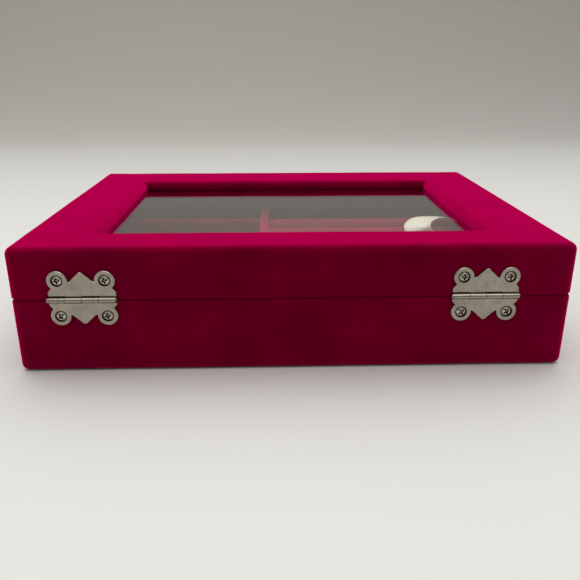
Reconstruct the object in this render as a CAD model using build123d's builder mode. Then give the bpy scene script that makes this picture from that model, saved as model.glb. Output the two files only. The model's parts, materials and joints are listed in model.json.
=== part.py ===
"""Velvet-covered jewelry box with a glass lid.

Frame: millimetres, +Z up. The origin is the middle of the underside. -Y is the clasp face, +Y the hinge
face, and X runs to the right as seen from the clasp side.
"""

from build123d import *
from math import cos, radians, sin
import os

os.makedirs("parts", exist_ok=True)

# ---- Driving dimensions -------------------------------------------------------------------------------

# Outside of the closed box
box_width = 200.0
box_depth = 150.0
lid_top = 46.9
seam_height = 27.7
seam_gap = 0.1
corner_radius = 3.0
top_edge_radius = 2.8
bottom_edge_radius = 2.5
seam_edge_radius = 1.0

# Velvet, boards and card
velvet = 0.6
board = 6.0
lining = 1.8
flap_depth = 8.0
hem_width = 12.0
bottom_board_thickness = 3.0
floor_card = 1.2

# Window in the lid: the rail beside the hinges is narrower than the one beside the clasp
hinge_rail = 21.8
clasp_rail = 28.8
side_rail = 27.35
window_corner_radius = 1.2
window_edge_radius = 3.3
glass_depth = 4.36
glass_thickness = 2.5
glass_overlap = 8.0
glass_play = 0.3
window_flap = 10.6
strip_lip = 2.0
strip_setback = 1.5

# Inside of the tray
divider = 4.2
divider_x = 11.6
cross_divider = 4.0
cross_divider_spots = (-37.0, -2.0, 33.0)
divider_drop = 0.7
roll_count = 6
roll_gap = 0.35
roll_crest = 27.0
roll_end_play = 1.2
tray_card = 1.2
tray_end_y = -44.0
tray_end_wall = 3.0
tray_end_top = 20.0

# Butterfly hinges: offsets are measured across the hinge face, left to right as seen from behind
hinge_spots = {"left": -74.1, "right": 68.0}
leaf_thickness = 0.8
leaf_rise = 1.0
barrel_rise = 0.6
barrel_radius = 1.02
barrel_stand_off = 1.35
knuckle_count = 4
knuckle_pitch = 5.9
knuckle_gap = 0.15
pin_radius = 0.55
pin_bore = 0.6
pin_tip = 0.55
leaf_edge = 1.25
leaf_screw_x = 8.2
leaf_screw_z = 6.6
lobe_z = 6.5
lobe_radius = 3.6

# Cross-head screws
screw_head_radius = 1.68
screw_head_height = 1.0
screw_recess_radius = 2.15
screw_recess_depth = 0.62
lid_screw_turns = (4, 12, 0, 10)
base_screw_turns = (38, 6, 36, 32)
small_screw_turns = (20, 65)
# Shares of the head's radius, and of its height
cross_length = 1.40
cross_width = 0.44
cross_depth = 0.72
screw_shank_radius = 0.7
screw_length = 5.0
pilot_play = 0.05

# Clasp: a hook that hangs from a rivet on the lid and swings onto a stud on the tray
latch_pivot = (-5.0, 37.4)
latch_reach = 17.0
latch_angle = 28.0
latch_sheet = 0.8
latch_flange = 0.25
latch_play = 0.05
rivet_radius = 0.8
rivet_head_radius = 1.7
rivet_head_height = 0.6
stud_radius = 1.0
hook_head_radius = 3.6
hook_eye_radius = 2.6
hook_arm_width = 3.0
hook_slot = 2.5
small_head_radius = 1.25
small_head_height = 0.7

# Ribbon stay
ribbon_width = 12.0
ribbon_thickness = 0.5
ribbon_y = 4.0
ribbon_reach = 34.0

# ---- Worked-out dimensions ----------------------------------------------------------------------------

half_width = box_width / 2
half_depth = box_depth / 2
underside = 0.1
base_rim = seam_height - seam_gap / 2
lid_rim = seam_height + seam_gap / 2

# Inner faces of the boards, of the velvet flap over them and of the lining card
board_in_x = half_width - velvet - board
board_in_y = half_depth - velvet - board
flap_in_x = board_in_x - velvet
flap_in_y = board_in_y - velvet
lining_in_x = flap_in_x - lining
lining_in_y = flap_in_y - lining

window_low_y = clasp_rail - half_depth
window_high_y = half_depth - hinge_rail
window_y = (window_low_y + window_high_y) / 2
window_width = box_width - 2 * side_rail
window_depth = window_high_y - window_low_y

glass_top = lid_top - glass_depth
glass_low = glass_top - glass_thickness
rail_low = glass_top + velvet
strip_low = glass_low - strip_lip

floor_low = underside + velvet
floor_board_top = floor_low + bottom_board_thickness
floor_top = floor_board_top + floor_card
divider_top = base_rim + seam_gap / 2 - divider_drop
lining_top = base_rim - 1.0
lid_lining_low = lid_rim + 1.0

barrel_y = half_depth + barrel_stand_off
barrel_z = seam_height + barrel_rise
leaf_z = seam_height + leaf_rise

# Faces of the box that the hardware is fastened to; on both, the second coordinate is the height
hinge_face = Plane(origin=(0, half_depth, 0), x_dir=(-1, 0, 0), z_dir=(0, 1, 0))
clasp_face = Plane(origin=(0, -half_depth, 0), x_dir=(1, 0, 0), z_dir=(0, -1, 0))

latch_stud = (
    latch_pivot[0] + latch_reach * sin(radians(latch_angle)),
    latch_pivot[1] - latch_reach * cos(radians(latch_angle)),
)
lid_plate_screws = [(latch_pivot[0] + side * 5.2, latch_pivot[1]) for side in (-1, 1)]
base_plate_screws = [(latch_stud[0] + 5.7, latch_stud[1] + side * 2.6) for side in (-1, 1)]


def leaf_screws(side):
    """Screw places on the hinge face: side is 1 for the lid's leaves and -1 for the tray's."""
    return [
        (spot + hand * leaf_screw_x, leaf_z + side * leaf_screw_z)
        for spot in hinge_spots.values()
        for hand in (-1, 1)
    ]


def keep(part, name):
    """Label a finished piece and write it to its own file."""
    part.label = name
    export_step(part, f"parts/{name}.step")


# ---- Shared shapes ------------------------------------------------------------------------------------


def rounded_block(inset, low, high, low_radius, high_radius):
    """A block with the box's outline drawn in by inset, its upright edges and both rims rounded."""
    with BuildPart() as block:
        with BuildSketch(Plane.XY.offset(low)):
            RectangleRounded(box_width - 2 * inset, box_depth - 2 * inset, corner_radius - inset)
        extrude(amount=high - low)
        fillet(block.faces().sort_by(Axis.Z)[0].edges(), low_radius - inset)
        fillet(block.faces().sort_by(Axis.Z)[-1].edges(), high_radius - inset)
    return block.part


def window_block(margin, corner, low):
    """The space over the glass, up through the lid's top, grown by margin on every side."""
    with BuildPart() as space:
        with BuildSketch(Plane.XY.offset(low)):
            with Locations((0, window_y)):
                RectangleRounded(window_width + 2 * margin, window_depth + 2 * margin, corner)
        extrude(amount=lid_top + 1 - low)
    return space.part


def block_between(low_corner, high_corner):
    """A plain block between two opposite corners."""
    size = [high - low for low, high in zip(low_corner, high_corner)]
    with BuildPart() as block:
        with Locations(low_corner):
            Box(*size, align=(Align.MIN, Align.MIN, Align.MIN))
    return block.part


def cylinders(face, spots, radius, near, far):
    """Round bars square to a face of the box, from near to far outside it (negative is inside)."""
    with BuildPart() as bars:
        with BuildSketch(face.offset(near)):
            with Locations(*spots):
                Circle(radius)
        extrude(amount=far - near)
    return bars.part


def pilot_holes(side):
    """The holes that every screw needs in the tray (side -1) or in the lid (side 1)."""
    radius = screw_shank_radius + pilot_play
    small_spots = lid_plate_screws if side > 0 else base_plate_screws
    with BuildPart() as holes:
        add(cylinders(hinge_face, leaf_screws(side), radius, -screw_length - 0.3, 1))
        add(cylinders(clasp_face, small_spots, radius, -screw_length - 0.3, 1))
    return holes.part


# ---- Tray ---------------------------------------------------------------------------------------------


def base_core():
    """Outer shape of the tray's boards, under the velvet."""
    return rounded_block(velvet, underside + velvet, base_rim - velvet, bottom_edge_radius, seam_edge_radius)


def make_base_wrap():
    with BuildPart() as wrap:
        add(rounded_block(0, underside, base_rim, bottom_edge_radius, seam_edge_radius))
        add(base_core(), mode=Mode.SUBTRACT)
        with BuildSketch(Plane.XY.offset(base_rim - velvet)):
            Rectangle(2 * board_in_x, 2 * board_in_y)
        extrude(amount=-flap_depth)
        with BuildSketch(Plane.XY.offset(base_rim)):
            Rectangle(2 * flap_in_x, 2 * flap_in_y)
        extrude(amount=-flap_depth - velvet, mode=Mode.SUBTRACT)
        with BuildSketch(Plane.XY.offset(underside)):
            Rectangle(box_width - 2 * hem_width, box_depth - 2 * hem_width)
        extrude(amount=velvet, mode=Mode.SUBTRACT)
        add(pilot_holes(-1), mode=Mode.SUBTRACT)
    keep(wrap.part, "base_wrap")


def make_base_boards():
    """The four walls, butted at the corners: the clasp and hinge walls run the full width."""
    with BuildPart() as ring:
        add(base_core())
        with BuildSketch(Plane.XY):
            Rectangle(2 * board_in_x, 2 * board_in_y)
        extrude(amount=lid_top, mode=Mode.SUBTRACT)
        add(pilot_holes(-1), mode=Mode.SUBTRACT)
    zones = {
        "front": block_between((-half_width, -half_depth, 0), (half_width, -board_in_y, lid_top)),
        "back": block_between((-half_width, board_in_y, 0), (half_width, half_depth, lid_top)),
        "left": block_between((-half_width, -board_in_y, 0), (-board_in_x, board_in_y, lid_top)),
        "right": block_between((board_in_x, -board_in_y, 0), (half_width, board_in_y, lid_top)),
    }
    for name, zone in zones.items():
        with BuildPart() as wall:
            add(ring.part)
            add(zone, mode=Mode.INTERSECT)
        keep(wall.part, f"base_board_{name}")


def make_base_floor():
    with BuildPart() as floor_board:
        with BuildSketch(Plane.XY.offset(floor_low)):
            Rectangle(2 * board_in_x, 2 * board_in_y)
        extrude(amount=bottom_board_thickness)
    keep(floor_board.part, "base_bottom_board")

    with BuildPart() as cover:
        with BuildSketch():
            Rectangle(box_width - 2 * hem_width - 0.6, box_depth - 2 * hem_width - 0.6)
        extrude(amount=floor_low)
    keep(cover.part, "base_bottom_cover")

    with BuildPart() as card:
        with BuildSketch(Plane.XY.offset(floor_board_top)):
            Rectangle(2 * board_in_x - 0.2, 2 * board_in_y - 0.2)
        extrude(amount=floor_card)
    keep(card.part, "base_floor_lining")


def make_linings(prefix, low, high):
    """Velvet-covered card on the four inner walls, from low to high."""
    walls = {
        "front": ((-flap_in_x, -flap_in_y, low), (flap_in_x, -lining_in_y, high)),
        "back": ((-flap_in_x, lining_in_y, low), (flap_in_x, flap_in_y, high)),
        "left": ((-flap_in_x, -lining_in_y, low), (-lining_in_x, lining_in_y, high)),
        "right": ((lining_in_x, -lining_in_y, low), (flap_in_x, lining_in_y, high)),
    }
    for name, corners in walls.items():
        keep(block_between(*corners), f"{prefix}_lining_{name}")


def make_divider(name, centre, size):
    """A divider card with softly rounded upper edges, standing on the floor card."""
    with BuildPart() as card:
        with BuildSketch(Plane.XY.offset(floor_top)):
            with Locations(centre):
                Rectangle(*size)
        extrude(amount=divider_top - floor_top)
        top_edges = card.faces().sort_by(Axis.Z)[-1].edges()
        long_axis = Axis.X if size[0] > size[1] else Axis.Y
        fillet(top_edges.filter_by(long_axis), min(size) * 0.4)
    keep(card.part, name)


def make_dividers():
    make_divider("divider_long", (divider_x, 0), (divider, 2 * lining_in_y))
    near = divider_x + divider / 2
    length = lining_in_x - near
    for number, spot in enumerate(cross_divider_spots, start=1):
        make_divider(f"divider_cross_{number}", (near + length / 2, spot), (length, cross_divider))


def make_ring_half():
    """Foam rolls side by side on a card, with a low wall towards the open compartment."""
    low_x = -lining_in_x + roll_end_play
    high_x = divider_x - divider / 2 - 0.3
    keep(
        block_between((-lining_in_x, tray_end_y, floor_top), (high_x, lining_in_y, floor_top + tray_card)),
        "ring_tray_board",
    )
    with BuildPart() as end_wall:
        with BuildSketch(Plane.XY.offset(floor_top)):
            with Locations(((high_x - lining_in_x) / 2, tray_end_y - tray_end_wall / 2)):
                Rectangle(high_x + lining_in_x, tray_end_wall)
        extrude(amount=tray_end_top - floor_top)
        fillet(end_wall.faces().sort_by(Axis.Z)[-1].edges().filter_by(Axis.X), 1.0)
    keep(end_wall.part, "ring_tray_end_wall")

    pitch = (lining_in_y - tray_end_y) / roll_count
    radius = (pitch - roll_gap) / 2
    roll_low = floor_top + tray_card
    for number in range(1, roll_count + 1):
        middle = tray_end_y + pitch * (number - 0.5)
        with BuildPart() as roll:
            with BuildSketch(Plane.YZ.offset(low_x)):
                with Locations((middle, roll_crest - radius)):
                    Circle(radius)
                with Locations((middle, roll_low)):
                    Rectangle(2 * radius, roll_crest - radius - roll_low, align=(Align.CENTER, Align.MIN))
            extrude(amount=high_x - low_x)
        keep(roll.part, f"ring_roll_{number}")


def make_ribbon():
    """The stay in the closed box: glued to the tray's and the lid's side walls, its slack in a loop."""
    wall_x = -lining_in_x + ribbon_thickness / 2 + 0.05
    bend_x = -lining_in_x + ribbon_reach
    lower = roll_crest + 0.35 + ribbon_thickness / 2
    with BuildPart() as ribbon:
        with BuildSketch(Plane.XZ.offset(-ribbon_y - ribbon_width / 2)):
            with BuildLine() as path:
                FilletPolyline(
                    (wall_x, lower - 5.0),
                    (wall_x, lower),
                    (bend_x, lower),
                    (bend_x, lower + 7.6),
                    (wall_x, lower + 4.4),
                    (wall_x, lower + 9.8),
                    radius=1.2,
                )
            trace(line_width=ribbon_thickness)
        extrude(amount=ribbon_width)
    keep(ribbon.part, "ribbon_stay")


# ---- Lid ----------------------------------------------------------------------------------------------


def lid_core():
    """Outer shape of the lid's boards under the velvet: walls with a flat frame of rails on top."""
    with BuildPart() as core:
        add(rounded_block(velvet, lid_rim + velvet, lid_top - velvet, seam_edge_radius, top_edge_radius))
        add(window_block(velvet, window_corner_radius, rail_low), mode=Mode.SUBTRACT)
        rail_face = core.faces().filter_by(Plane.XY).sort_by(Axis.Z)[-1]
        fillet(rail_face.inner_wires()[0].edges(), window_edge_radius - velvet)
        with BuildSketch(Plane.XY.offset(seam_height)):
            Rectangle(2 * board_in_x, 2 * board_in_y)
        extrude(amount=rail_low - seam_height, mode=Mode.SUBTRACT)
    return core.part


def make_lid_wrap():
    with BuildPart() as wrap:
        add(rounded_block(0, lid_rim, lid_top, seam_edge_radius, top_edge_radius))
        add(window_block(0, window_corner_radius, glass_top), mode=Mode.SUBTRACT)
        top_face = wrap.faces().filter_by(Plane.XY).sort_by(Axis.Z)[-1]
        fillet(top_face.inner_wires()[0].edges(), window_edge_radius)
        with BuildSketch(Plane.XY.offset(lid_rim)):
            Rectangle(2 * flap_in_x, 2 * flap_in_y)
        extrude(amount=glass_top - lid_rim, mode=Mode.SUBTRACT)
        add(lid_core(), mode=Mode.SUBTRACT)
        with BuildSketch(Plane.XY.offset(rail_low)):
            Rectangle(2 * board_in_x, 2 * board_in_y)
            with Locations((0, window_y)):
                Rectangle(
                    window_width + 2 * window_flap, window_depth + 2 * window_flap, mode=Mode.SUBTRACT
                )
        extrude(amount=lid_rim + velvet + flap_depth - rail_low, mode=Mode.SUBTRACT)
        add(pilot_holes(1), mode=Mode.SUBTRACT)
    keep(wrap.part, "lid_wrap")


def make_lid_boards():
    """Four walls under four flat rails, all butted at the corners."""
    with BuildPart() as core:
        add(lid_core())
        add(pilot_holes(1), mode=Mode.SUBTRACT)
    wall_zones = {
        "front": ((-half_width, -half_depth), (half_width, -board_in_y)),
        "back": ((-half_width, board_in_y), (half_width, half_depth)),
        "left": ((-half_width, -board_in_y), (-board_in_x, board_in_y)),
        "right": ((board_in_x, -board_in_y), (half_width, board_in_y)),
    }
    for name, (low, high) in wall_zones.items():
        with BuildPart() as wall:
            add(core.part)
            add(block_between((*low, seam_height), (*high, rail_low)), mode=Mode.INTERSECT)
        keep(wall.part, f"lid_wall_{name}")

    # The front and back rails take the window's rounded corners with them
    corner = velvet + window_corner_radius
    low_y = window_low_y - velvet
    high_y = window_high_y + velvet
    rail_zones = {
        "front": ((-half_width, -half_depth), (half_width, low_y + corner)),
        "back": ((-half_width, high_y - corner), (half_width, half_depth)),
        "left": ((-half_width, low_y + corner), (0, high_y - corner)),
        "right": ((0, low_y + corner), (half_width, high_y - corner)),
    }
    for name, (low, high) in rail_zones.items():
        with BuildPart() as rail:
            add(core.part)
            add(block_between((*low, rail_low), (*high, lid_top)), mode=Mode.INTERSECT)
        keep(rail.part, f"lid_rail_{name}")


def make_glass():
    with BuildPart() as glass:
        with BuildSketch(Plane.XY.offset(glass_low)):
            with Locations((0, window_y)):
                Rectangle(window_width + 2 * glass_overlap, window_depth + 2 * glass_overlap)
        extrude(amount=glass_thickness)
        chamfer(glass.edges().filter_by(GeomType.LINE), 0.2)
    keep(glass.part, "glass_pane")


def make_glass_strips():
    """Strips under the glass with a step that its edge sits in."""
    outer_x = board_in_x - 0.1
    outer_y = board_in_y - 0.1
    step_x = window_width / 2 + glass_overlap + glass_play
    lip_x = window_width / 2 + strip_setback
    step_y = {-1: window_low_y - glass_overlap - glass_play, 1: window_high_y + glass_overlap + glass_play}
    lip_y = {-1: window_low_y - strip_setback, 1: window_high_y + strip_setback}

    for name, side in (("front", -1), ("back", 1)):
        edge_low, edge_high = sorted((side * outer_y, lip_y[side]))
        body_low, body_high = sorted((side * outer_y, step_y[side]))
        with BuildPart() as strip:
            add(block_between((-outer_x, edge_low, strip_low), (outer_x, edge_high, glass_low)))
            add(block_between((-outer_x, body_low, glass_low), (outer_x, body_high, glass_top)))
        keep(strip.part, f"glass_strip_{name}")

    for name, side in (("left", -1), ("right", 1)):
        edge_low, edge_high = sorted((side * outer_x, side * lip_x))
        body_low, body_high = sorted((side * outer_x, side * step_x))
        with BuildPart() as strip:
            add(block_between((edge_low, lip_y[-1], strip_low), (edge_high, lip_y[1], glass_low)))
            add(block_between((body_low, lip_y[-1], glass_low), (body_high, lip_y[1], glass_top)))
        keep(strip.part, f"glass_strip_{name}")


# ---- Hinges -------------------------------------------------------------------------------------------


def make_hinge_leaf(hand, spot, side):
    """One butterfly leaf: a pointed middle between two round lobes, and every second knuckle."""
    inner_edge = leaf_edge + side * (barrel_z - leaf_z)
    outline = [
        (11.8, inner_edge),
        (11.8, 2.4),
        (10.9, 3.55),
        (9.0, 5.2),
        (3.95, 6.4),
        (0.45, 9.6),
        (-0.45, 9.6),
        (-3.95, 6.4),
        (-9.0, 5.2),
        (-10.9, 3.55),
        (-11.8, 2.4),
        (-11.8, inner_edge),
    ]
    with BuildPart() as leaf:
        with BuildSketch(hinge_face):
            with BuildLine():
                Polyline([(spot + x, leaf_z + side * z) for x, z in outline], close=True)
            make_face()
            with Locations(*[(spot + x, leaf_z + side * lobe_z) for x in (-leaf_screw_x, leaf_screw_x)]):
                Circle(lobe_radius)
        extrude(amount=leaf_thickness)
        outer_rim = leaf.faces().sort_by(Axis.Y)[-1].edges()
        chamfer(outer_rim, 0.15)
        first = 0 if side < 0 else 1
        for number in range(first, knuckle_count, 2):
            # Knuckles are counted from the left end as seen from behind
            left_end = spot + knuckle_pitch * (number - knuckle_count / 2) + knuckle_gap / 2
            with BuildSketch(Plane.YZ.offset(-left_end)):
                with Locations((barrel_y, barrel_z)):
                    Circle(barrel_radius)
                with Locations((half_depth + leaf_thickness / 2, barrel_z)):
                    tongue = Align.MIN if side > 0 else Align.MAX
                    Rectangle(leaf_thickness, leaf_edge + 0.5, align=(Align.CENTER, tongue))
            extrude(amount=-(knuckle_pitch - knuckle_gap))
        with BuildSketch(Plane.YZ.offset(-spot - box_width / 10)):
            with Locations((barrel_y, barrel_z)):
                Circle(pin_bore)
        extrude(amount=box_width / 5, mode=Mode.SUBTRACT)
        own_screws = [(spot + x, leaf_z + side * leaf_screw_z) for x in (-leaf_screw_x, leaf_screw_x)]
        clearance = screw_shank_radius + 0.2
        add(cylinders(hinge_face, own_screws, clearance, -1, 2), mode=Mode.SUBTRACT)
        recess_floor = leaf_thickness - screw_recess_depth
        add(cylinders(hinge_face, own_screws, screw_recess_radius, recess_floor, 2), mode=Mode.SUBTRACT)
    keep(leaf.part, f"hinge_{hand}_{'lid' if side > 0 else 'base'}_leaf")


def make_hinge_pin(hand, spot):
    """A pin through all four knuckles with a small round head at the left end."""
    barrel_end = knuckle_pitch * knuckle_count / 2
    with BuildPart() as pin:
        with BuildSketch(Plane.YZ.offset(-spot - barrel_end - 0.25)):
            with Locations((barrel_y, barrel_z)):
                Circle(pin_radius)
        extrude(amount=2 * barrel_end + 0.25 + pin_tip)
        with BuildSketch(Plane.YZ.offset(-spot + barrel_end)):
            with Locations((barrel_y, barrel_z)):
                Circle(pin_radius + 0.25)
        extrude(amount=pin_tip)
        fillet(pin.edges().filter_by(GeomType.CIRCLE).sort_by(Axis.X)[-1], 0.35)
    keep(pin.part, f"hinge_{hand}_pin")


# ---- Screws -------------------------------------------------------------------------------------------


def screw(head_radius, head_height):
    """A cross-head screw along +Z whose head rests on the plane z = 0."""
    with BuildPart() as body:
        with BuildSketch(Plane.XZ):
            with BuildLine():
                Polyline(
                    (0, head_height),
                    (0, -screw_length),
                    (0.25, -screw_length),
                    (screw_shank_radius, -screw_length + 1.1),
                    (screw_shank_radius, 0),
                    (head_radius, 0),
                    (head_radius, head_height * 0.35),
                )
                RadiusArc((head_radius, head_height * 0.35), (0, head_height), -1.9 * head_radius)
            make_face()
        revolve(axis=Axis.Z)
        with BuildSketch(Plane.XY.offset(head_height)):
            Rectangle(head_radius * cross_length, head_radius * cross_width)
            Rectangle(head_radius * cross_width, head_radius * cross_length)
        extrude(amount=-head_height * cross_depth, taper=12, mode=Mode.SUBTRACT)
    return body.part


def make_screws(name, face, spots, turns, seat, one_screw):
    """Screws with their heads on a seat outside a face of the box, each turned its own way."""
    with BuildPart() as group:
        for (across, height), turn in zip(spots, turns):
            with Locations(face.location * Location((across, height, seat), (0, 0, turn))):
                add(one_screw)
    keep(group.part, name)


# ---- Clasp --------------------------------------------------------------------------------------------


def make_latch_lid_plate():
    with BuildPart() as plate:
        with BuildSketch(clasp_face):
            with Locations(latch_pivot):
                Circle(3.3)
                Rectangle(10.4, 3.0)
            with Locations(*lid_plate_screws):
                Circle(2.3)
        extrude(amount=latch_sheet)
        chamfer(plate.faces().sort_by(Axis.Y)[0].edges(), 0.15)
        add(cylinders(clasp_face, [latch_pivot], rivet_radius + latch_play, -1, 2), mode=Mode.SUBTRACT)
        clearance = screw_shank_radius + 0.15
        add(cylinders(clasp_face, lid_plate_screws, clearance, -1, 2), mode=Mode.SUBTRACT)
    keep(plate.part, "latch_lid_plate")


def make_latch_base_plate():
    with BuildPart() as plate:
        with BuildSketch(clasp_face):
            with Locations((latch_stud[0] + 2.7, latch_stud[1])):
                RectangleRounded(10.6, 10.0, 2.2)
        extrude(amount=latch_sheet)
        chamfer(plate.faces().sort_by(Axis.Y)[0].edges(), 0.15)
        add(cylinders(clasp_face, [latch_stud], rivet_radius + latch_play, -1, 2), mode=Mode.SUBTRACT)
        clearance = screw_shank_radius + 0.15
        add(cylinders(clasp_face, base_plate_screws, clearance, -1, 2), mode=Mode.SUBTRACT)
    keep(plate.part, "latch_base_plate")


def make_headed_post(name, spot, neck_radius, neck_near, head_near):
    """A post through a plate, with a neck outside it and a domed head on the neck."""
    with BuildPart() as post:
        add(cylinders(clasp_face, [spot], rivet_radius, 0, head_near))
        add(cylinders(clasp_face, [spot], neck_radius, latch_sheet, neck_near))
        add(cylinders(clasp_face, [spot], rivet_head_radius, head_near, head_near + rivet_head_height))
        fillet(post.edges().filter_by(GeomType.CIRCLE).sort_by(Axis.Y)[0], rivet_head_height * 0.7)
    keep(post.part, name)


def make_latch_posts():
    flange_top = latch_sheet + latch_flange
    hook_top = flange_top + 2 * latch_play + latch_sheet
    make_headed_post("latch_pivot_rivet", latch_pivot, 1.5, flange_top, hook_top)
    make_headed_post("latch_stud", latch_stud, stud_radius, hook_top, hook_top)


def make_latch_hook():
    """The hook as it hangs: an eye, an arm, and a head whose slot opens towards the stud."""
    x, z = latch_pivot
    head_z = z - latch_reach
    with BuildPart() as hook:
        with BuildSketch(clasp_face.offset(latch_sheet + latch_flange + latch_play)):
            with Locations((x, z)):
                Circle(hook_eye_radius)
                Rectangle(hook_arm_width, latch_reach, align=(Align.CENTER, Align.MAX))
            with Locations((x, head_z)):
                Circle(hook_head_radius)
            with Locations((x, head_z - hook_head_radius - 0.6)):
                Circle(1.5)
            with BuildLine(mode=Mode.PRIVATE) as way:
                CenterArc((x, z), latch_reach, 270, 17)
            SlotArc(way.edge(), hook_slot, mode=Mode.SUBTRACT)
            with Locations((x, z)):
                Circle(rivet_radius + latch_play, mode=Mode.SUBTRACT)
        extrude(amount=latch_sheet)
    keep(hook.part, "latch_hook")


# ---- Build everything ---------------------------------------------------------------------------------

make_base_wrap()
make_base_boards()
make_base_floor()
make_linings("base", floor_top, lining_top)
make_dividers()
make_ring_half()
make_ribbon()

make_lid_wrap()
make_lid_boards()
make_glass()
make_glass_strips()
make_linings("lid", lid_lining_low, strip_low)

for hinge_hand, hinge_spot in hinge_spots.items():
    make_hinge_leaf(hinge_hand, hinge_spot, 1)
    make_hinge_leaf(hinge_hand, hinge_spot, -1)
    make_hinge_pin(hinge_hand, hinge_spot)

hinge_screw = screw(screw_head_radius, screw_head_height)
small_screw = screw(small_head_radius, small_head_height)
hinge_seat = leaf_thickness - screw_recess_depth
make_screws("hinge_screws_lid", hinge_face, leaf_screws(1), lid_screw_turns, hinge_seat, hinge_screw)
make_screws("hinge_screws_base", hinge_face, leaf_screws(-1), base_screw_turns, hinge_seat, hinge_screw)
make_screws("latch_screws_lid", clasp_face, lid_plate_screws, small_screw_turns, latch_sheet, small_screw)
make_screws("latch_screws_base", clasp_face, base_plate_screws, small_screw_turns, latch_sheet, small_screw)

make_latch_lid_plate()
make_latch_base_plate()
make_latch_posts()
make_latch_hook()
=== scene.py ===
"""Looks of the velvet jewelry box: velvet wraps, foam ring rolls, ribbon stay, glass, nickel and light.

Metres, in the row frame: +Z up, +Y towards the hinges, origin in the middle of the underside.
"""

import json
from math import cos, pi, radians, sin

import bmesh
import bpy
import numpy as np
from mathutils import Matrix, Vector, noise


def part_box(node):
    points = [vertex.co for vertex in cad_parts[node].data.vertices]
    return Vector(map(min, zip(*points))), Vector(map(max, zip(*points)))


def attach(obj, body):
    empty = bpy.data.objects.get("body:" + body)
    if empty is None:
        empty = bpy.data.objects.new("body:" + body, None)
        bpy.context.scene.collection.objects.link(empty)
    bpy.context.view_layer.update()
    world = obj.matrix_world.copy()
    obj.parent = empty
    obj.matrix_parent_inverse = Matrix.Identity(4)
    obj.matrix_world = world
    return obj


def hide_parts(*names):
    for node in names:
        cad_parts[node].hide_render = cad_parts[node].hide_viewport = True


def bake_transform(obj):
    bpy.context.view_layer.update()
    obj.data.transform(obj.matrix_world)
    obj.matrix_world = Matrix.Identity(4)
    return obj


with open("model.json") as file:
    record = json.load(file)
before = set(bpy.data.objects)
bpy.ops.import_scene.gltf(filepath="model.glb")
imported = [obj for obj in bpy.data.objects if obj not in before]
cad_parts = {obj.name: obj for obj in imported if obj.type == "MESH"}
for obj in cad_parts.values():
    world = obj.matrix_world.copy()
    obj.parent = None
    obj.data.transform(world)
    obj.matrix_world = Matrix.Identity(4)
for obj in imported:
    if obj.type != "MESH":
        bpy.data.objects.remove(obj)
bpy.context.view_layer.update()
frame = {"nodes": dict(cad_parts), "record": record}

MM = 0.001
scene = bpy.context.scene
scene.view_settings.view_transform = "Standard"

# ---- Camera, floor and light --------------------------------------------------------------------------

CAMERA_PLACE = (0.0077, 0.2804, 0.1072)
CAMERA_PITCH = radians(20.38)
CAMERA_YAW = radians(1.71)
CAMERA_LENS = 38.61

KEY_PLACE = (0.05, 0.10, 1.0)
KEY_AIM = (0, 0.02, 0)
KEY_SIZE = (1.4, 1.0)
KEY_POWER = 7.2
KEY_COLOUR = (1.0, 0.985, 0.96)
SKY_POWER = 1.6
SURROUND_LOW = (0.15, 0.137, 0.115, 1)
SURROUND_HIGH = (0.60, 0.59, 0.57, 1)


def make_camera():
    """The camera stands behind the box, looks at the hinge face and a little down on the lid."""
    camera = bpy.data.objects.new("camera", bpy.data.cameras.new("camera"))
    scene.collection.objects.link(camera)
    camera.data.lens = CAMERA_LENS
    camera.data.clip_start = 0.01
    ahead = Vector(
        (-sin(CAMERA_YAW) * cos(CAMERA_PITCH), -cos(CAMERA_YAW) * cos(CAMERA_PITCH), -sin(CAMERA_PITCH))
    )
    right = Vector((-cos(CAMERA_YAW), sin(CAMERA_YAW), 0))
    up = right.cross(ahead)
    camera.matrix_world = Matrix.Translation(CAMERA_PLACE) @ Matrix((right, up, -ahead)).transposed().to_4x4()
    scene.camera = camera


def make_key_light():
    """A large soft source overhead, a little towards the camera."""
    light = bpy.data.lights.new("key", "AREA")
    light.shape = "RECTANGLE"
    light.size, light.size_y = KEY_SIZE
    light.energy = KEY_POWER
    light.color = KEY_COLOUR
    lamp = bpy.data.objects.new("key", light)
    scene.collection.objects.link(lamp)
    lamp.location = KEY_PLACE
    lamp.rotation_euler = (Vector(KEY_AIM) - Vector(KEY_PLACE)).to_track_quat("-Z", "Y").to_euler()


def make_surround():
    """A dim warm surround that lightens upwards, and a bright sky above the backdrop."""
    world = bpy.data.worlds.new("surround")
    scene.world = world
    world.use_nodes = True
    nodes, links = world.node_tree.nodes, world.node_tree.links
    towards = nodes.new("ShaderNodeSeparateXYZ")
    links.new(nodes.new("ShaderNodeTexCoord").outputs["Generated"], towards.inputs["Vector"])

    def stretch(axis, low, high, to_high):
        """A smooth step from 0 to to_high as the direction's part along axis goes from low to high."""
        made = nodes.new("ShaderNodeMapRange")
        made.interpolation_type = "SMOOTHSTEP"
        for key, value in (("From Min", low), ("From Max", high), ("To Max", to_high)):
            made.inputs[key].default_value = value
        links.new(towards.outputs[axis], made.inputs["Value"])
        return made.outputs["Result"]

    rise = nodes.new("ShaderNodeMix")
    rise.data_type = "RGBA"
    rise.inputs[6].default_value = SURROUND_LOW
    rise.inputs[7].default_value = SURROUND_HIGH
    links.new(stretch("Z", 0.0, 0.9, 1.0), rise.inputs[0])
    behind = nodes.new("ShaderNodeMath")
    behind.operation = "MULTIPLY"
    links.new(stretch("Y", 0.1, -0.6, SKY_POWER), behind.inputs[0])
    links.new(stretch("Z", 0.30, 0.55, 1.0), behind.inputs[1])
    sky = nodes.new("ShaderNodeVectorMath")
    sky.operation = "ADD"
    links.new(rise.outputs[2], sky.inputs[0])
    links.new(behind.outputs[0], sky.inputs[1])
    links.new(sky.outputs[0], nodes["Background"].inputs["Color"])


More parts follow.
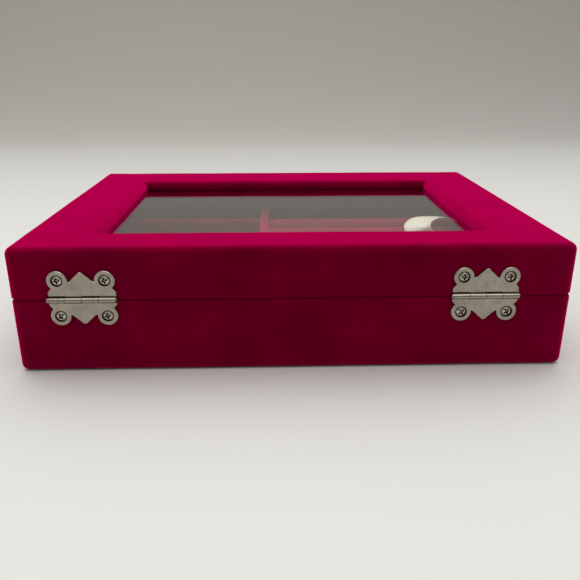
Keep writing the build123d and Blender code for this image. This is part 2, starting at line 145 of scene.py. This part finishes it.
# ---- Materials ----------------------------------------------------------------------------------------


class Shader:
    """A node material: add() makes a node, and its inputs take numbers, colours or other nodes' outputs."""

    def __init__(self, name):
        self.material = bpy.data.materials.new(name)
        self.material.use_nodes = True
        self.tree = self.material.node_tree
        self.surface = self.tree.nodes["Principled BSDF"]

    def add(self, kind, inputs=None, **settings):
        made = self.tree.nodes.new("ShaderNode" + kind)
        for key, value in settings.items():
            setattr(made, key, value)
        for key, value in (inputs or {}).items():
            self.feed(made.inputs[key], value)
        return made

    def feed(self, socket, value):
        if isinstance(value, bpy.types.NodeSocket):
            self.tree.links.new(value, socket)
        else:
            socket.default_value = value

    def place(self, stretch=(1, 1, 1)):
        """The piece's own coordinates in metres, stretched."""
        where = self.add("TexCoord").outputs["Object"]
        return self.add("Mapping", {"Vector": where, "Scale": stretch}).outputs["Vector"]

    def speckle(self, scale, detail=3.0, rough=0.5, stretch=(1, 1, 1)):
        """Noise from 0 to 1 with about scale blobs to the metre."""
        inputs = {"Vector": self.place(stretch), "Scale": scale, "Detail": detail, "Roughness": rough}
        return self.add("TexNoise", inputs).outputs["Fac"]

    def ramp(self, value, low, high, to_low=0.0, to_high=1.0):
        inputs = {"Value": value, "From Min": low, "From Max": high, "To Min": to_low, "To Max": to_high}
        return self.add("MapRange", inputs).outputs["Result"]

    def mix(self, factor, first, second):
        made = self.add("Mix", data_type="RGBA")
        self.feed(made.inputs[0], factor)
        self.feed(made.inputs[6], first)
        self.feed(made.inputs[7], second)
        return made.outputs[2]

    def sum(self, first, second, weight):
        """first + second * weight"""
        inputs = {0: second, 1: weight, 2: first}
        return self.add("Math", inputs, operation="MULTIPLY_ADD").outputs[0]

    def bump(self, height, distance, strength):
        inputs = {"Height": height, "Distance": distance, "Strength": strength}
        return self.add("Bump", inputs).outputs["Normal"]

    def set(self, **values):
        """Feeds the surface's sockets; an underscore stands for a space in a socket's name."""
        for key, value in values.items():
            self.feed(self.surface.inputs[key.replace("_", " ")], value)


VELVET_DEEP = (0.075, 0.0, 0.005, 1)
VELVET_LIGHT = (0.135, 0.0, 0.010, 1)
VELVET_SHEEN = (1.0, 0.0, 0.18, 1)
# Painted shade for the nickel parts: a dark colour laid into recesses, screw slots and gaps, reaching this far.
RECESS_SHADE_COLOUR = (0.022, 0.018, 0.014, 1)
RECESS_SHADE_REACH = 0.9 * MM
RIBS_SCALE = 560.0


def velvet_material(name):
    """Short-nap velvet: clumps of pile, soft brushed patches, and a bright glow at grazing angles."""
    shader = Shader(name)
    pile = shader.speckle(1500, detail=3.0, rough=0.6)
    clumps = shader.speckle(420, detail=2.0)
    patches = shader.speckle(38, detail=2.0, rough=0.45)
    strokes = shader.speckle(30, detail=3.0, stretch=(0.6, 7.0, 5.0))
    tone = shader.sum(shader.sum(shader.ramp(patches, 0.3, 0.7, 0.0, 0.5), strokes, 0.3), clumps, 0.2)
    shader.set(
        Base_Color=shader.mix(shader.ramp(tone, 0.25, 0.85), VELVET_DEEP, VELVET_LIGHT),
        Roughness=shader.ramp(clumps, 0.3, 0.7, 0.82, 1.0),
        Specular_IOR_Level=0.0,
        Sheen_Weight=1.0,
        Sheen_Roughness=0.58,
        Sheen_Tint=VELVET_SHEEN,
        Normal=shader.bump(shader.sum(pile, clumps, 0.8), 0.00022, 0.55),
    )
    return shader.material


def nickel_material(name, tone, low_rough, high_rough, open_from, open_to):
    """Nickel plate: faint brushing, a little tarnish, and painted shade: a dark colour where less than open_from
    of the air is open.
    """
    shader = Shader(name)
    brush = shader.speckle(700, detail=3.0, stretch=(0.15, 1.0, 3.0))
    tarnish = shader.ramp(shader.speckle(260, detail=5.0, rough=0.65), 0.45, 0.75)
    dull = tuple(c * 0.72 for c in tone[:3]) + (1,)
    # Painted shade: where ambient occlusion finds little open air, the colour turns towards the dark shade
    # colour.
    open_air = shader.add("AmbientOcclusion", {"Distance": RECESS_SHADE_REACH}, samples=12).outputs["AO"]
    unshaded = shader.ramp(open_air, open_from, open_to)
    shader.set(
        Base_Color=shader.mix(unshaded, RECESS_SHADE_COLOUR, shader.mix(tarnish, tone, dull)),
        Metallic=1.0,
        Roughness=shader.ramp(shader.sum(brush, tarnish, 0.4), 0.2, 1.1, low_rough, high_rough),
        Normal=shader.bump(brush, 0.00004, 0.35),
    )
    return shader.material


def fibreboard_material():
    shader = Shader("fibreboard")
    fibres = shader.speckle(900, detail=5.0, rough=0.7, stretch=(1, 1, 0.4))
    shader.set(
        Base_Color=shader.mix(fibres, (0.30, 0.19, 0.10, 1), (0.50, 0.36, 0.22, 1)),
        Roughness=shader.ramp(fibres, 0.3, 0.7, 0.75, 0.95),
        Normal=shader.bump(fibres, 0.0002, 0.4),
    )
    return shader.material


def paper_material():
    """Black embossed paper on the underside."""
    shader = Shader("bottom_paper")
    grain = shader.speckle(1100, detail=4.0, rough=0.6)
    cloud = shader.speckle(45, detail=2.0)
    shader.set(
        Base_Color=shader.mix(cloud, (0.018, 0.016, 0.017, 1), (0.045, 0.041, 0.042, 1)),
        Roughness=shader.ramp(grain, 0.3, 0.7, 0.7, 0.9),
        Normal=shader.bump(grain, 0.0003, 0.6),
    )
    return shader.material


def glass_material():
    """Clear float glass with the faintest smears; light from the lamps goes straight through it."""
    shader = Shader("window_glass")
    smear = shader.speckle(25, detail=3.0, stretch=(1, 2.5, 1))
    tint = shader.mix(smear, (0.93, 0.96, 0.945, 1), (0.97, 0.985, 0.98, 1))
    shader.set(
        Base_Color=tint,
        Roughness=shader.ramp(smear, 0.35, 0.75, 0.0, 0.035),
        Transmission_Weight=1.0,
        IOR=1.5,
    )
    lamps = shader.add("LightPath").outputs["Is Shadow Ray"]
    clear = shader.add("BsdfTransparent", {"Color": tint}).outputs["BSDF"]
    either = shader.add("MixShader", {0: lamps, 1: shader.surface.outputs["BSDF"], 2: clear})
    shader.feed(shader.tree.nodes["Material Output"].inputs["Surface"], either.outputs["Shader"])
    return shader.material


def ribbon_material():
    """Cream grosgrain: fine cross ribs and a soft satin shine."""
    shader = Shader("ribbon_weave")
    along = shader.add("UVMap", uv_map="ribbon").outputs["UV"]
    waves = {"Vector": along, "Scale": RIBS_SCALE, "Distortion": 0.4}
    ribs = shader.add("TexWave", waves, wave_type="BANDS", bands_direction="X").outputs["Fac"]
    shade = shader.speckle(150, detail=3.0)
    shader.set(
        Base_Color=shader.mix(shader.sum(shade, ribs, 0.25), (0.80, 0.72, 0.58, 1), (0.96, 0.88, 0.76, 1)),
        Roughness=shader.ramp(ribs, 0.0, 1.0, 0.5, 0.7),
        Sheen_Weight=0.3,
        Normal=shader.bump(ribs, 0.00012, 0.6),
    )
    return shader.material


MATERIALS = {
    "velvet": velvet_material("velvet_card"),
    "roll_velvet": velvet_material("velvet_roll"),
    "ribbon": ribbon_material(),
    "fibreboard": fibreboard_material(),
    "bottom_paper": paper_material(),
    "glass": glass_material(),
    "nickel": nickel_material("nickel_plate", (0.35, 0.315, 0.26, 1), 0.20, 0.36, 0.45, 0.80),
    "screw_steel": nickel_material("screw_plate", (0.62, 0.57, 0.50, 1), 0.22, 0.38, 0.66, 0.90),
}
WRAP_VELVET = velvet_material("velvet_wrap")


def dress_cad_nodes():
    """Every CAD node shows its record slot's material."""
    for subpart in frame["record"]["subparts"]:
        mesh = frame["nodes"][subpart["node"]].data
        mesh.materials.clear()
        mesh.materials.append(MATERIALS[subpart["material_slot"]])


# ---- Mesh helpers -------------------------------------------------------------------------------------


def rounded_loop(centre, half, radius, height, counts):
    """A rounded rectangle as a ring of points, anticlockwise; counts are along X, along Y and per corner."""
    along_x, along_y, per_corner = counts
    points = []
    corners = ((1, -1, -pi / 2), (1, 1, 0), (-1, 1, pi / 2), (-1, -1, pi))
    run_counts = (along_y, along_x, along_y, along_x)
    for number, (sign_x, sign_y, start) in enumerate(corners):
        middle = (centre[0] + sign_x * (half[0] - radius), centre[1] + sign_y * (half[1] - radius))
        for step in range(per_corner + 1):
            angle = start + pi / 2 * step / per_corner
            points.append((middle[0] + radius * cos(angle), middle[1] + radius * sin(angle), height))
        end = points[-1]
        next_x, next_y, next_start = corners[(number + 1) % 4]
        target = (
            centre[0] + next_x * (half[0] - radius) + radius * cos(next_start),
            centre[1] + next_y * (half[1] - radius) + radius * sin(next_start),
        )
        for step in range(1, run_counts[number]):
            share = step / run_counts[number]
            points.append((end[0] + (target[0] - end[0]) * share, end[1] + (target[1] - end[1]) * share, height))
    return np.array(points)


def tube_mesh(name, loops, closed_section=True):
    """A mesh whose rings of equal length are joined one to the next, and in a closed section last to first."""
    ring = len(loops[0])
    vertices = np.concatenate(loops)
    faces = []
    last = len(loops) if closed_section else len(loops) - 1
    for level in range(last):
        low = level * ring
        high = ((level + 1) % len(loops)) * ring
        for step in range(ring):
            after = (step + 1) % ring
            faces.append((low + step, low + after, high + after, high + step))
    mesh = bpy.data.meshes.new(name)
    mesh.from_pydata(vertices.tolist(), [], faces)
    mesh.validate()
    return mesh


def close_ends(mesh):
    """Fills the open rings at a tube's two ends."""
    work = bmesh.new()
    work.from_mesh(mesh)
    bmesh.ops.holes_fill(work, edges=[edge for edge in work.edges if edge.is_boundary], sides=0)
    work.to_mesh(mesh)
    work.free()


def add_piece(name, mesh, material):
    """An object with the mesh, smooth shaded, its faces turned outwards."""
    piece = bpy.data.objects.new(name, mesh)
    scene.collection.objects.link(piece)
    mesh.materials.append(material)
    work = bmesh.new()
    work.from_mesh(mesh)
    bmesh.ops.recalc_face_normals(work, faces=work.faces)
    work.to_mesh(mesh)
    work.free()
    mesh.polygons.foreach_set("use_smooth", [True] * len(mesh.polygons))
    return piece


def sink(mesh, amount_at):
    """Moves every vertex inwards along its normal by amount_at(place)."""
    mesh.update()
    places = [vertex.co.copy() for vertex in mesh.vertices]
    normals = [vertex.normal.copy() for vertex in mesh.vertices]
    moved = [place - normal * amount_at(place) for place, normal in zip(places, normals)]
    mesh.vertices.foreach_set("co", np.array(moved, dtype=np.float32).ravel())
    mesh.update()


# ---- Velvet wraps -------------------------------------------------------------------------------------

LID_LOW, LID_HIGH = (Vector(corner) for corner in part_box("lid_wrap"))
BASE_LOW, BASE_HIGH = (Vector(corner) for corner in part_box("base_wrap"))
HALF = ((LID_HIGH.x - LID_LOW.x) / 2, (LID_HIGH.y - LID_LOW.y) / 2)
CORNER = 3.0 * MM
TIGHTEST = 0.3 * MM
VELVET = 0.6 * MM
SEAM_EDGE = 1.0 * MM
FLAP_IN = 7.2 * MM
FLAP_DEPTH = 8.0 * MM
WRAP_COUNTS = (110, 84, 6)
WINDOW_CORNER = 1.2 * MM
STRIP_OVERLAP = 8.0 * MM
WINDOW_FLAP = 10.6 * MM
GLASS_GAP = 0.02 * MM


def outer_ring(inset, height):
    """A ring of the box's outline drawn in by inset."""
    radius = max(CORNER - inset, TIGHTEST)
    return rounded_loop((0, 0), (HALF[0] - inset, HALF[1] - inset), radius, height, WRAP_COUNTS)


def arc_rings(middle_inset, middle_height, radius, start, end, steps):
    """Rings round a rolled edge, from start to end degrees: 0 points outwards and 90 up."""
    rings = []
    for step in range(steps + 1):
        angle = radians(start + (end - start) * step / steps)
        rings.append(outer_ring(middle_inset - radius * cos(angle), middle_height + radius * sin(angle)))
    return rings


def between(first, last, steps):
    """Rings evenly spaced between two rings, without either of them."""
    return [first + (last - first) * step / steps for step in range(1, steps)]


def joined(*groups):
    """Groups of rings one after another, with rings between them where a number stands."""
    rings = []
    steps = 0
    for group in groups:
        if isinstance(group, int):
            steps = group
            continue
        if rings and steps:
            rings += between(rings[-1], group[0], steps)
        rings += group
        steps = 0
    return rings


def soft_unevenness(place, seed):
    """How far the velvet sinks into its padding: slow waves and a finer ripple."""
    shift = Vector((seed, seed * 1.7, seed * 0.3))
    slow = noise.noise(place * 45 + shift)
    fine = noise.noise(place * 210 + shift)
    return (0.09 + 0.09 * slow + 0.035 * fine) * MM


def make_base_wrap():
    """Velvet from a hem under the tray, up its walls and over the rim into a flap behind the lining."""
    bottom, rim = BASE_LOW.z, BASE_HIGH.z
    edge, seam = 2.5 * MM, SEAM_EDGE
    hem = 12.0 * MM
    outside = joined(
        [outer_ring(hem, bottom)], 4,
        arc_rings(edge, bottom + edge, edge, -90, 0, 7), 12,
        arc_rings(seam, rim - seam, seam, 0, 90, 5), 4,
        [outer_ring(FLAP_IN, rim)], 1,
        [outer_ring(FLAP_IN, rim - VELVET - FLAP_DEPTH)],
    )
    inside = joined(
        [outer_ring(FLAP_IN - VELVET, rim - VELVET - FLAP_DEPTH)], 1,
        [outer_ring(FLAP_IN - VELVET, rim - VELVET)], 1,
        arc_rings(seam, rim - seam, seam - VELVET, 90, 0, 3), 1,
        arc_rings(edge, bottom + edge, edge - VELVET, 0, -90, 5), 1,
        [outer_ring(hem, bottom + VELVET)],
    )
    mesh = tube_mesh("base_velvet", outside + inside)
    piece = add_piece("base_velvet", mesh, WRAP_VELVET)
    sink(mesh, lambda place: soft_unevenness(place, 3.0))
    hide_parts("base_wrap")
    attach(piece, "base")


def make_lid_wrap():
    """Velvet from a flap in the lid, over its rim, walls and top, and down the window's sill onto the glass."""
    rim, top = LID_LOW.z, LID_HIGH.z
    edge, seam, sill = 2.8 * MM, SEAM_EDGE, 3.3 * MM
    glass_low, glass_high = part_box("glass_pane")
    window_half = [(glass_high[axis] - glass_low[axis]) / 2 - STRIP_OVERLAP for axis in (0, 1)]
    window_middle = (0, (glass_low[1] + glass_high[1]) / 2)
    glass_top = glass_high[2]

    def window_ring(outset, height):
        """A ring of the window's outline grown by outset."""
        half = (window_half[0] + outset, window_half[1] + outset)
        radius = max(WINDOW_CORNER + outset, TIGHTEST)
        return rounded_loop(window_middle, half, radius, height, WRAP_COUNTS)

    def sill_rings(radius, start, end, steps):
        """Rings round the window's rolled edge, from start to end degrees: 0 points up and 90 inwards."""
        rings = []
        for step in range(steps + 1):
            angle = radians(start + (end - start) * step / steps)
            rings.append(window_ring(sill - radius * sin(angle), top - sill + radius * cos(angle)))
        return rings

    outside = joined(
        [outer_ring(FLAP_IN, rim + VELVET + FLAP_DEPTH)], 1,
        [outer_ring(FLAP_IN, rim)], 4,
        arc_rings(seam, rim + seam, seam, -90, 0, 5), 9,
        arc_rings(edge, top - edge, edge, 0, 90, 8), 16,
        sill_rings(sill, 0, 90, 7), 2,
        [window_ring(0, glass_top + GLASS_GAP)], 1,
        [window_ring(WINDOW_FLAP, glass_top + GLASS_GAP)],
    )
    inside = joined(
        [window_ring(WINDOW_FLAP, glass_top + VELVET)], 1,
        [window_ring(VELVET, glass_top + VELVET)], 1,
        sill_rings(sill - VELVET, 90, 0, 4), 1,
        arc_rings(edge, top - edge, edge - VELVET, 90, 0, 4), 1,
        arc_rings(seam, rim + seam, seam - VELVET, 0, -90, 3), 1,
        [outer_ring(FLAP_IN - VELVET, rim + VELVET)], 1,
        [outer_ring(FLAP_IN - VELVET, rim + VELVET + FLAP_DEPTH)],
    )
    mesh = tube_mesh("lid_velvet", outside + inside)
    piece = add_piece("lid_velvet", mesh, WRAP_VELVET)
    sink(mesh, lambda place: soft_unevenness(place, 11.0))
    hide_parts("lid_wrap")
    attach(piece, "lid")


# ---- Ring rolls ---------------------------------------------------------------------------------------


ROLL_STATIONS = 60
ROLL_AROUND = 40
ROLL_END = 3.0 * MM
ROLL_END_SIZE = 0.80
ROLL_SIDE_GAP = 0.985


def roll_ring(x, low, high):
    """The roll's section at x: a round crown on a squarer foot, drawn in near both ends."""
    half = (high.y - low.y) / 2
    middle = (high.y + low.y) / 2
    crown = high.z - half
    full = 1.0
    from_end = min(x - low.x, high.x - x) / ROLL_END
    if from_end < 1:
        full = ROLL_END_SIZE + (1 - ROLL_END_SIZE) * (1 - (1 - from_end) ** 2) ** 0.5
    ring = []
    for step in range(ROLL_AROUND):
        angle = 2 * pi * step / ROLL_AROUND
        wide = abs(cos(angle)) ** 0.75 * (1 if cos(angle) > 0 else -1)
        tall = sin(angle)
        y = middle + wide * half * ROLL_SIDE_GAP * full
        z = crown + tall * half * full if tall >= 0 else crown - abs(tall) ** 0.55 * (crown - low.z)
        ring.append((x, y, z))
    return np.array(ring)


def make_rolls():
    """Six foam rolls in velvet: full round crowns that draw in towards their sewn ends."""
    for number in range(1, 7):
        low, high = (Vector(corner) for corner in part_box(f"ring_roll_{number}"))
        length = high.x - low.x
        shares = [0.5 - 0.5 * cos(pi * (station / ROLL_STATIONS)) for station in range(ROLL_STATIONS + 1)]
        rings = [roll_ring(low.x + length * share, low, high) for share in shares]
        mesh = tube_mesh(f"roll_{number}", rings, closed_section=False)
        close_ends(mesh)
        piece = add_piece(f"roll_{number}", mesh, MATERIALS["roll_velvet"])
        sink(mesh, lambda place: 1.5 * soft_unevenness(place, 20.0 + number))
        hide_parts(f"ring_roll_{number}")
        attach(piece, "base")


# ---- Ribbon stay --------------------------------------------------------------------------------------

RIBBON_HALF = 6.0 * MM
RIBBON_THICK = 0.35 * MM
RIBBON_CURL = 0.25 * MM
RIBBON_STRIPS = 10
# The slack ribbon's middle line in millimetres and the direction of its width, from tray wall to lid wall
RIBBON_WAY = [
    ((-90.4, 14.0, 23.6), (0.0, -1.0, 0.0)),
    ((-90.4, 14.0, 27.0), (0.0, -1.0, 0.0)),
    ((-87.6, 13.2, 29.6), (0.1, -1.0, 0.0)),
    ((-78.0, 10.5, 29.2), (0.3, -0.95, 0.0)),
    ((-67.5, 7.0, 30.5), (0.6, -0.8, 0.02)),
    ((-60.2, 3.2, 31.9), (0.82, -0.5, -0.02)),
    ((-59.6, -1.0, 33.2), (0.88, -0.42, -0.08)),
    ((-64.6, -4.0, 35.3), (0.78, -0.6, -0.12)),
    ((-71.2, -5.8, 35.1), (0.40, -0.88, -0.22)),
    ((-77.8, -7.6, 33.2), (0.15, -0.95, -0.27)),
    ((-83.8, -9.6, 31.6), (0.05, -0.96, -0.25)),
    ((-88.0, -11.5, 31.3), (0.02, -0.98, -0.15)),
    ((-90.4, -12.0, 33.6), (0.0, -1.0, 0.0)),
    ((-90.4, -12.0, 37.0), (0.0, -1.0, 0.0)),
]


def smooth_way(points, steps):
    """A curve through all the points (Catmull-Rom), with steps pieces between two of them."""
    points = np.array(points)
    padded = np.vstack([2 * points[0] - points[1], points, 2 * points[-1] - points[-2]])
    share = np.linspace(0, 1, steps, endpoint=False)[:, None]
    runs = []
    for a, b, c, d in zip(padded, padded[1:], padded[2:], padded[3:]):
        bend = 2 * a - 5 * b + 4 * c - d
        runs.append(b + 0.5 * share * (c - a + share * (bend + share * (3 * (b - c) + d - a))))
    return np.vstack(runs + [points[-1:]])


def relaxed(rows, times):
    """Rows of numbers with each one drawn towards its neighbours; the first and last stay."""
    rows = rows.copy()
    for _ in range(times):
        rows[1:-1] = (rows[:-2] + 2 * rows[1:-1] + rows[2:]) / 4
    return rows


def make_ribbon():
    """A cream ribbon that hangs in a twisted loop between the tray's and the lid's side walls."""
    centre = relaxed(smooth_way([place for place, _ in RIBBON_WAY], 9) * MM, 24)
    across = relaxed(smooth_way([width for _, width in RIBBON_WAY], 9), 60)
    along = relaxed(np.gradient(centre, axis=0), 20)
    along /= np.linalg.norm(along, axis=1)[:, None]
    across -= (across * along).sum(axis=1)[:, None] * along
    across = relaxed(across, 40)
    across /= np.linalg.norm(across, axis=1)[:, None]
    face = np.cross(along, across)
    travel = np.concatenate([[0], np.cumsum(np.linalg.norm(np.diff(centre, axis=0), axis=1))])
    rings = []
    for place, width, out in zip(centre, across, face):
        ring = []
        for side in (1, -1):
            for step in range(RIBBON_STRIPS + 1):
                share = (2 * step / RIBBON_STRIPS - 1) * side
                curl = RIBBON_CURL * share * share
                edge = 0.55 if abs(share) == 1 else 1.0
                ring.append(place + width * share * RIBBON_HALF + out * (side * edge * RIBBON_THICK / 2 - curl))
        rings.append(ring)
    mesh = tube_mesh("ribbon", np.array(rings), closed_section=False)
    close_ends(mesh)
    weave = mesh.uv_layers.new(name="ribbon")
    for loop in mesh.loops:
        station, spot = divmod(loop.vertex_index, 2 * (RIBBON_STRIPS + 1))
        over = (spot % (RIBBON_STRIPS + 1)) / RIBBON_STRIPS
        weave.data[loop.index].uv = (travel[station], over * 2 * RIBBON_HALF)
    piece = add_piece("ribbon", mesh, MATERIALS["ribbon"])
    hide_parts("ribbon_stay")
    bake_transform(piece)


# ---- Floor --------------------------------------------------------------------------------------------


def make_floor():
    """A pale floor that curves up into a backdrop far behind the box, with painted shade that darkens it further
    away.
    """
    width, near, far, bend, height = 3.0, 1.2, -0.9, 0.3, 0.42
    bend_steps = 16
    profile = [(near, 0.0), (far + bend, 0.0)]
    for step in range(1, bend_steps + 1):
        angle = pi / 2 * step / bend_steps
        profile.append((far + bend - bend * sin(angle), bend - bend * cos(angle)))
    profile.append((far, height))
    vertices = [(side * width, y, z) for y, z in profile for side in (-1, 1)]
    faces = [(2 * i, 2 * i + 1, 2 * i + 3, 2 * i + 2) for i in range(len(profile) - 1)]
    mesh = bpy.data.meshes.new("floor")
    mesh.from_pydata(vertices, [], faces)
    shader = Shader("pale_floor")
    cloud = shader.speckle(6, detail=3.0)
    near_tone = shader.mix(cloud, (0.545, 0.545, 0.53, 1), (0.585, 0.585, 0.57, 1))
    # Painted shade: the colour darkens from y -0.05 to -0.6, so the far floor and backdrop look less lit.
    away = shader.add("SeparateXYZ", {"Vector": shader.place()}).outputs["Y"]
    shader.set(
        Base_Color=shader.mix(shader.ramp(away, -0.05, -0.6), near_tone, (0.46, 0.455, 0.43, 1)),
        Roughness=0.7,
        Specular_IOR_Level=0.3,
    )
    floor = add_piece("floor", mesh, shader.material)


make_camera()
make_key_light()
make_surround()
make_floor()
dress_cad_nodes()
make_base_wrap()
make_lid_wrap()
make_rolls()
make_ribbon()
